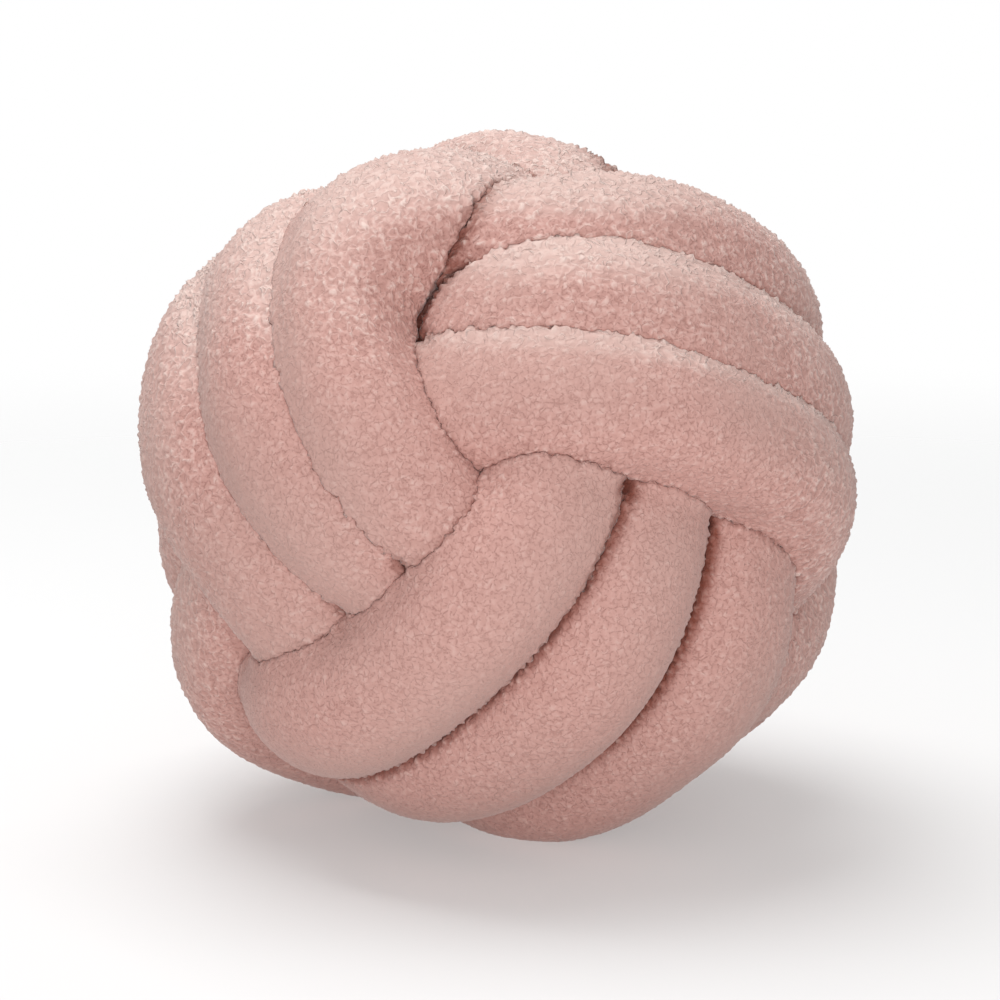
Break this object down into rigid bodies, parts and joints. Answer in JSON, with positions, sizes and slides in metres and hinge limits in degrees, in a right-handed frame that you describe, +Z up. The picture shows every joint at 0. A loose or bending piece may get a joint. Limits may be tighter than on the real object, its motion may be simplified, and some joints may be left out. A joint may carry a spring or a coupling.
{
  "type": "knot cushion",
  "caption": "Round plush cushion made of one stuffed fleece tube tied into a ball, its strands passing over and under each other.",
  "frame": {"origin": "centre of the object's box, at the height of the surface it rests on", "axes": "+Z up; the front, where the inner strands of all sets meet as a pinwheel, faces -Y; +X to the right seen from the front"},
  "size_m": [0.2962, 0.307, 0.2902],
  "materials": {
    "fleece": "blush pink teddy fleece with a short curly pile"
  },
  "bodies": {
    "root": {"knotted_tube": "fleece"}
  },
  "joints": []
}
